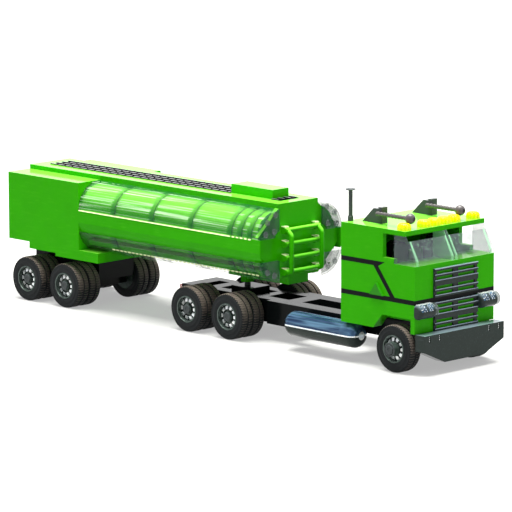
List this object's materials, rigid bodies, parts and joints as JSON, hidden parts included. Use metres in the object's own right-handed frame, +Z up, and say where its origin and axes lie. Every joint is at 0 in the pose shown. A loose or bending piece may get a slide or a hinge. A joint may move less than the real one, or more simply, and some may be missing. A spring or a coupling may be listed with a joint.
{
  "type": "toy tanker truck",
  "caption": "Brick-built toy tanker truck: a cab-over tractor hinged to a long tank trailer, all wheels free to roll.",
  "frame": {"origin": "on the floor, in the middle of the whole length and width", "axes": "+X forward out of the cab, +Y to the vehicle's left, +Z up"},
  "size_m": [0.4094, 0.0894, 0.1165],
  "materials": {
    "green_plastic": "moulded gloss",
    "black_plastic": "moulded gloss",
    "grey_plastic": "moulded gloss",
    "clear_plastic": "clear moulded",
    "clear_red": "clear moulded",
    "yellow_plastic": "moulded gloss",
    "dark_green": "moulded gloss",
    "dark_chrome": "plated plastic",
    "tyre": "soft rubber"
  },
  "bodies": {
    "tractor": {"bumper": "grey_plastic", "cab_back": "green_plastic", "cab_floor": "green_plastic", "cab_front": "green_plastic", "cab_roof": "green_plastic", "cab_side_left": "green_plastic", "cab_side_right": "green_plastic", "cab_stripes": "black_plastic", "exhaust_stack": "grey_plastic", "fuel_brackets": "black_plastic", "fuel_tanks": "dark_chrome", "grille": "grey_plastic", "headlamps": "dark_chrome", "horn_brackets": "grey_plastic", "horns": "dark_chrome", "king_pin": "grey_plastic", "lamp_discs": "clear_plastic", "roof_lamps": "yellow_plastic", "seats": "black_plastic", "side_wedges": "dark_green", "tail_lamps": "clear_red", "tractor_axles": "grey_plastic", "tractor_frame": "black_plastic", "windscreens": "clear_plastic"},
    "trailer": {"trailer_box": "green_plastic", "trailer_deck": "green_plastic", "hatch": "green_plastic", "deck_grating": "black_plastic", "tank": "green_plastic", "side_belts": "green_plastic", "belly": "green_plastic", "upper_covers": "clear_plastic", "lower_covers": "clear_plastic", "bulkhead": "green_plastic", "front_rack": "green_plastic", "neck": "green_plastic", "bogie": "black_plastic", "trailer_axles": "grey_plastic"},
    "front_wheel_left": {"front_left_tyre": "tyre", "front_left_hub": "dark_chrome"},
    "front_wheel_right": {"front_right_tyre": "tyre", "front_right_hub": "dark_chrome"},
    "drive_front_wheel_left": {"drive_front_left_tyre": "tyre", "drive_front_left_hub": "dark_chrome"},
    "drive_front_wheel_right": {"drive_front_right_tyre": "tyre", "drive_front_right_hub": "dark_chrome"},
    "drive_rear_wheel_left": {"drive_rear_left_tyre": "tyre", "drive_rear_left_hub": "dark_chrome"},
    "drive_rear_wheel_right": {"drive_rear_right_tyre": "tyre", "drive_rear_right_hub": "dark_chrome"},
    "trailer_front_wheel_left": {"trailer_front_left_tyre": "tyre", "trailer_front_left_hub": "dark_chrome"},
    "trailer_front_wheel_right": {"trailer_front_right_tyre": "tyre", "trailer_front_right_hub": "dark_chrome"},
    "trailer_rear_wheel_left": {"trailer_rear_left_tyre": "tyre", "trailer_rear_left_hub": "dark_chrome"},
    "trailer_rear_wheel_right": {"trailer_rear_right_tyre": "tyre", "trailer_rear_right_hub": "dark_chrome"}
  },
  "joints": [
    {"name": "trailer_hinge", "type": "hinge", "parent": "tractor", "child": "trailer", "pos_m": [0.0002, 0, 0.0356], "axis": [0, 0, 1], "range_deg": [-90, 90]},
    {"name": "front_wheel_left_spin", "type": "hinge", "parent": "tractor", "child": "front_wheel_left", "pos_m": [0.1782, 0.0354, 0.016], "axis": [0, 1, 0], "continuous": true},
    {"name": "front_wheel_right_spin", "type": "hinge", "parent": "tractor", "child": "front_wheel_right", "pos_m": [0.1782, -0.0354, 0.016], "axis": [0, 1, 0], "continuous": true},
    {"name": "drive_front_wheel_left_spin", "type": "hinge", "parent": "tractor", "child": "drive_front_wheel_left", "pos_m": [0.0202, 0.029, 0.016], "axis": [0, 1, 0], "continuous": true},
    {"name": "drive_front_wheel_right_spin", "type": "hinge", "parent": "tractor", "child": "drive_front_wheel_right", "pos_m": [0.0202, -0.029, 0.016], "axis": [0, 1, 0], "continuous": true},
    {"name": "drive_rear_wheel_left_spin", "type": "hinge", "parent": "tractor", "child": "drive_rear_wheel_left", "pos_m": [-0.0198, 0.029, 0.016], "axis": [0, 1, 0], "continuous": true},
    {"name": "drive_rear_wheel_right_spin", "type": "hinge", "parent": "tractor", "child": "drive_rear_wheel_right", "pos_m": [-0.0198, -0.029, 0.016], "axis": [0, 1, 0], "continuous": true},
    {"name": "trailer_front_wheel_left_spin", "type": "hinge", "parent": "trailer", "child": "trailer_front_wheel_left", "pos_m": [-0.1463, 0.029, 0.016], "axis": [0, 1, 0], "continuous": true},
    {"name": "trailer_front_wheel_right_spin", "type": "hinge", "parent": "trailer", "child": "trailer_front_wheel_right", "pos_m": [-0.1463, -0.029, 0.016], "axis": [0, 1, 0], "continuous": true},
    {"name": "trailer_rear_wheel_left_spin", "type": "hinge", "parent": "trailer", "child": "trailer_rear_wheel_left", "pos_m": [-0.1863, 0.029, 0.016], "axis": [0, 1, 0], "continuous": true},
    {"name": "trailer_rear_wheel_right_spin", "type": "hinge", "parent": "trailer", "child": "trailer_rear_wheel_right", "pos_m": [-0.1863, -0.029, 0.016], "axis": [0, 1, 0], "continuous": true}
  ]
}
